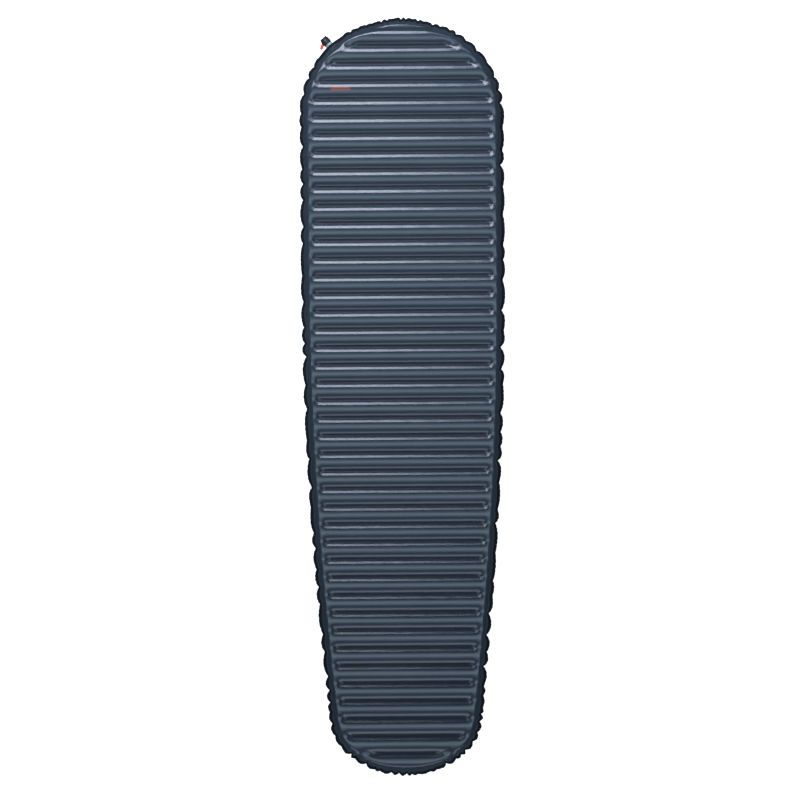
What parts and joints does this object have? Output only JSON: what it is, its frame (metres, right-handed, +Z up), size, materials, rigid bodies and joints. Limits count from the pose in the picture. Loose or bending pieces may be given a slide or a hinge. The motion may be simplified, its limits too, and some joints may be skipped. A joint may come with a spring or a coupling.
{
  "type": "inflatable sleeping pad",
  "caption": "Tapered inflatable camping mattress with narrow cross ribs, a two-layer folded film core and a winged one-way valve on a head corner.",
  "frame": {"origin": "centre of the footprint, on the ground", "axes": "+Y towards the head end, +X across the pad, +Z up"},
  "size_m": [0.494, 1.83, 0.064],
  "materials": {
    "upper_cloth": "semi-gloss coated nylon, dark slate blue",
    "lower_cloth": "matte coated nylon, dark slate blue",
    "core_film": "clear film with a thin metal coat",
    "soft_fitment": "soft light grey urethane",
    "valve_plastic": "black moulded nylon",
    "wing_plastic": "orange moulded plastic",
    "pin_steel": "bright steel",
    "seal_rubber": "black rubber",
    "flap_silicone": "translucent white silicone"
  },
  "bodies": {
    "pad": {"top_skin": "upper_cloth", "bottom_skin": "lower_cloth", "upper_truss_film": "core_film", "middle_film": "core_film", "lower_truss_film": "core_film", "valve_boat": "soft_fitment", "valve_body": "valve_plastic", "collar_seal": "seal_rubber", "mouth_ring": "valve_plastic"},
    "collar": {"lock_collar": "valve_plastic", "lock_wing": "wing_plastic"},
    "carrier": {"flap_carrier": "valve_plastic", "cross_pin": "pin_steel", "carrier_seal": "seal_rubber"},
    "flap": {"check_flap": "flap_silicone"}
  },
  "joints": [
    {"name": "collar_turn", "type": "hinge", "parent": "pad", "child": "collar", "pos_m": [-0.18297, 0.86544, 0.032], "axis": [-0.6665, 0.7455, 0], "range_deg": [0, 90]},
    {"name": "carrier_dump", "type": "slide", "parent": "pad", "child": "carrier", "axis": [0.6665, -0.7455, 0], "range_m": [0, 0.004]},
    {"name": "flap_lift", "type": "slide", "parent": "carrier", "child": "flap", "axis": [0.6665, -0.7455, 0], "range_m": [0, 0.0015], "stiffness_N_per_m": 30}
  ],
  "couplings": [
    {"joint": "carrier_dump", "follows": "collar_turn", "m_per_rad": 0.002546}
  ]
}
